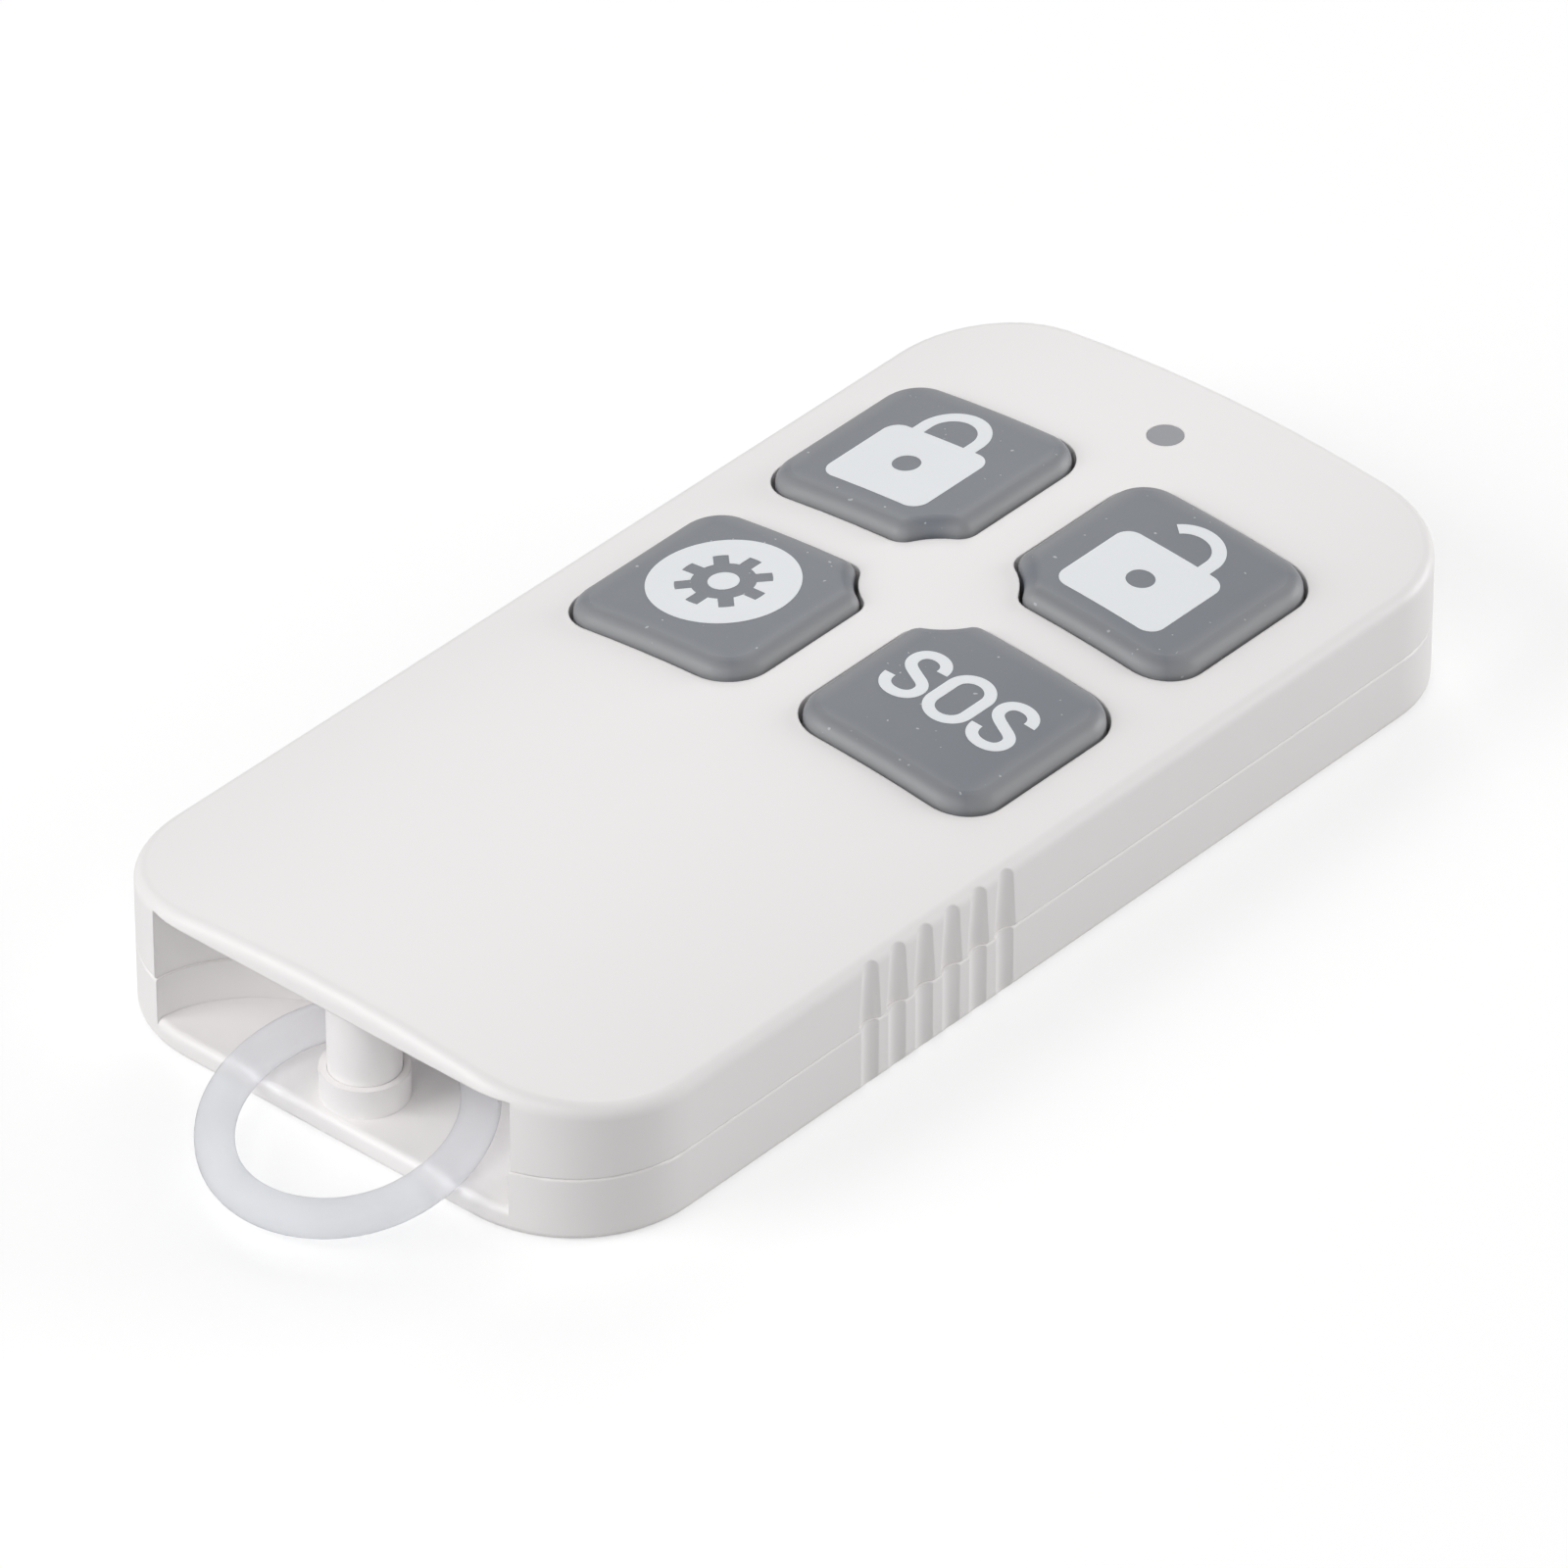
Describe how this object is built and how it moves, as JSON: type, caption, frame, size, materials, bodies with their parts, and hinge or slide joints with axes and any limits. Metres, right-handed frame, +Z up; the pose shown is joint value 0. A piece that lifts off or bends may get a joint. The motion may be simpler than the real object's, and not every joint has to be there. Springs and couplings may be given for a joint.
{
  "type": "burglar alarm key fob remote",
  "caption": "Flat pocket remote control of a burglar alarm with crowned top, raised square keys in a block, lamp window, grip ribs and a silicone key loop.",
  "frame": {"origin": "centre of the case on its flat back face", "axes": "+X to the right across the keys, +Y along the case away from the key loop, +Z up through the keys"},
  "size_m": [0.038, 0.0858, 0.011],
  "materials": {
    "case_plastic": "fine matt, warm white",
    "key_plastic": "satin grey",
    "mat_rubber": "matt grey silicone",
    "loop_rubber": "translucent silicone",
    "lamp_clear": "smoky grey light pipe",
    "board": "green solder mask",
    "switch_black": "moulded black",
    "switch_metal": "stamped sheet",
    "chip_black": "moulded epoxy",
    "lamp_body": "white lamp base",
    "lamp_dome": "clear resin",
    "crystal_metal": "tinned can",
    "ceramic_tan": "ceramic",
    "aerial_wire": "bare wire",
    "cell_steel": "nickel plated",
    "seal_plastic": "moulded seal",
    "contact_metal": "spring strip",
    "screw_steel": "zinc plated"
  },
  "bodies": {
    "case": {"top_case": "case_plastic", "bottom_case": "case_plastic", "keypad_mat": "mat_rubber", "lamp_window": "lamp_clear", "circuit_board": "board", "switch_bodies": "switch_black", "switch_covers": "switch_metal", "lamp_base": "lamp_body", "lamp_lens": "lamp_dome", "controller_chip": "chip_black", "radio_chip": "chip_black", "crystal_can": "crystal_metal", "capacitors": "ceramic_tan", "resistors": "chip_black", "wire_antenna": "aerial_wire", "cell_can": "cell_steel", "cell_seal": "seal_plastic", "cell_cap": "cell_steel", "negative_leaf": "contact_metal", "positive_clip": "contact_metal", "case_screws": "screw_steel"},
    "key_lock": {"key_lock": "key_plastic"},
    "plunger_lock": {"plunger_lock": "switch_black"},
    "key_unlock": {"key_unlock": "key_plastic"},
    "plunger_unlock": {"plunger_unlock": "switch_black"},
    "key_settings": {"key_settings": "key_plastic"},
    "plunger_settings": {"plunger_settings": "switch_black"},
    "key_sos": {"key_sos": "key_plastic"},
    "plunger_sos": {"plunger_sos": "switch_black"},
    "loop": {"key_loop": "loop_rubber"}
  },
  "joints": [
    {"name": "key_lock_press", "type": "slide", "parent": "case", "child": "key_lock", "axis": [0, 0, -1], "range_m": [0, 0.0002], "stiffness_N_per_m": 800},
    {"name": "plunger_lock_press", "type": "slide", "parent": "case", "child": "plunger_lock", "axis": [0, 0, -1], "range_m": [0, 0.0002]},
    {"name": "key_unlock_press", "type": "slide", "parent": "case", "child": "key_unlock", "axis": [0, 0, -1], "range_m": [0, 0.0002], "stiffness_N_per_m": 800},
    {"name": "plunger_unlock_press", "type": "slide", "parent": "case", "child": "plunger_unlock", "axis": [0, 0, -1], "range_m": [0, 0.0002]},
    {"name": "key_settings_press", "type": "slide", "parent": "case", "child": "key_settings", "axis": [0, 0, -1], "range_m": [0, 0.0002], "stiffness_N_per_m": 800},
    {"name": "plunger_settings_press", "type": "slide", "parent": "case", "child": "plunger_settings", "axis": [0, 0, -1], "range_m": [0, 0.0002]},
    {"name": "key_sos_press", "type": "slide", "parent": "case", "child": "key_sos", "axis": [0, 0, -1], "range_m": [0, 0.0002], "stiffness_N_per_m": 800},
    {"name": "plunger_sos_press", "type": "slide", "parent": "case", "child": "plunger_sos", "axis": [0, 0, -1], "range_m": [0, 0.0002]},
    {"name": "loop_swivel", "type": "hinge", "parent": "case", "child": "loop", "pos_m": [0, -0.03515, 0], "axis": [0, 0, 1], "range_deg": [-20, 8]}
  ],
  "couplings": [
    {"joint": "plunger_lock_press", "follows": "key_lock_press", "ratio": 1},
    {"joint": "plunger_unlock_press", "follows": "key_unlock_press", "ratio": 1},
    {"joint": "plunger_settings_press", "follows": "key_settings_press", "ratio": 1},
    {"joint": "plunger_sos_press", "follows": "key_sos_press", "ratio": 1}
  ]
}
